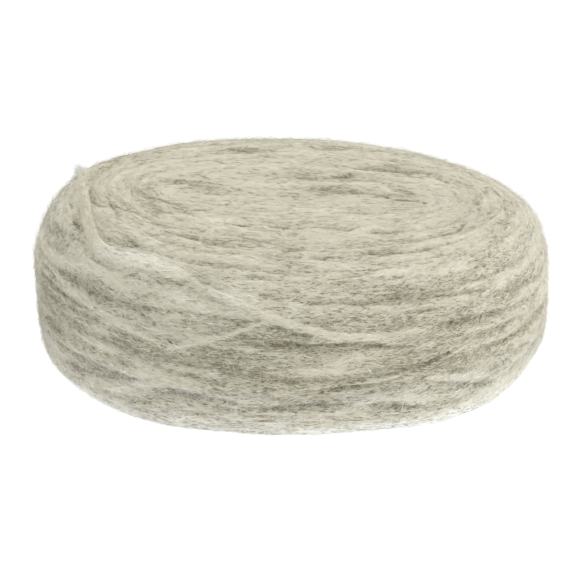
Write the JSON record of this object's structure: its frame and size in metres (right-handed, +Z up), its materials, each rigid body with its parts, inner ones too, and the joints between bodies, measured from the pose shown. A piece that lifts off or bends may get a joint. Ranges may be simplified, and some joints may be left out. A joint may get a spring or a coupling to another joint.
{
  "type": "icelandic wool yarn",
  "caption": "Flat wheel of unspun wool roving, wound turn beside turn round a collapsed heart, with crossing turns and a loose end; rests on its flat underside.",
  "frame": {"origin": "under the middle of the plate, on the surface that it rests on", "axes": "+Z up, out of the wound face; +X to the right and -Y to the front, with the loose end over the left shoulder"},
  "size_m": [0.1511, 0.1515, 0.0548],
  "materials": {
    "wool_roving": "soft matt unspun wool, pale ash and beige, with darker and lighter fibres"
  },
  "bodies": {
    "root": {"wound_plate": "wool_roving", "loose_end": "wool_roving"}
  },
  "joints": []
}
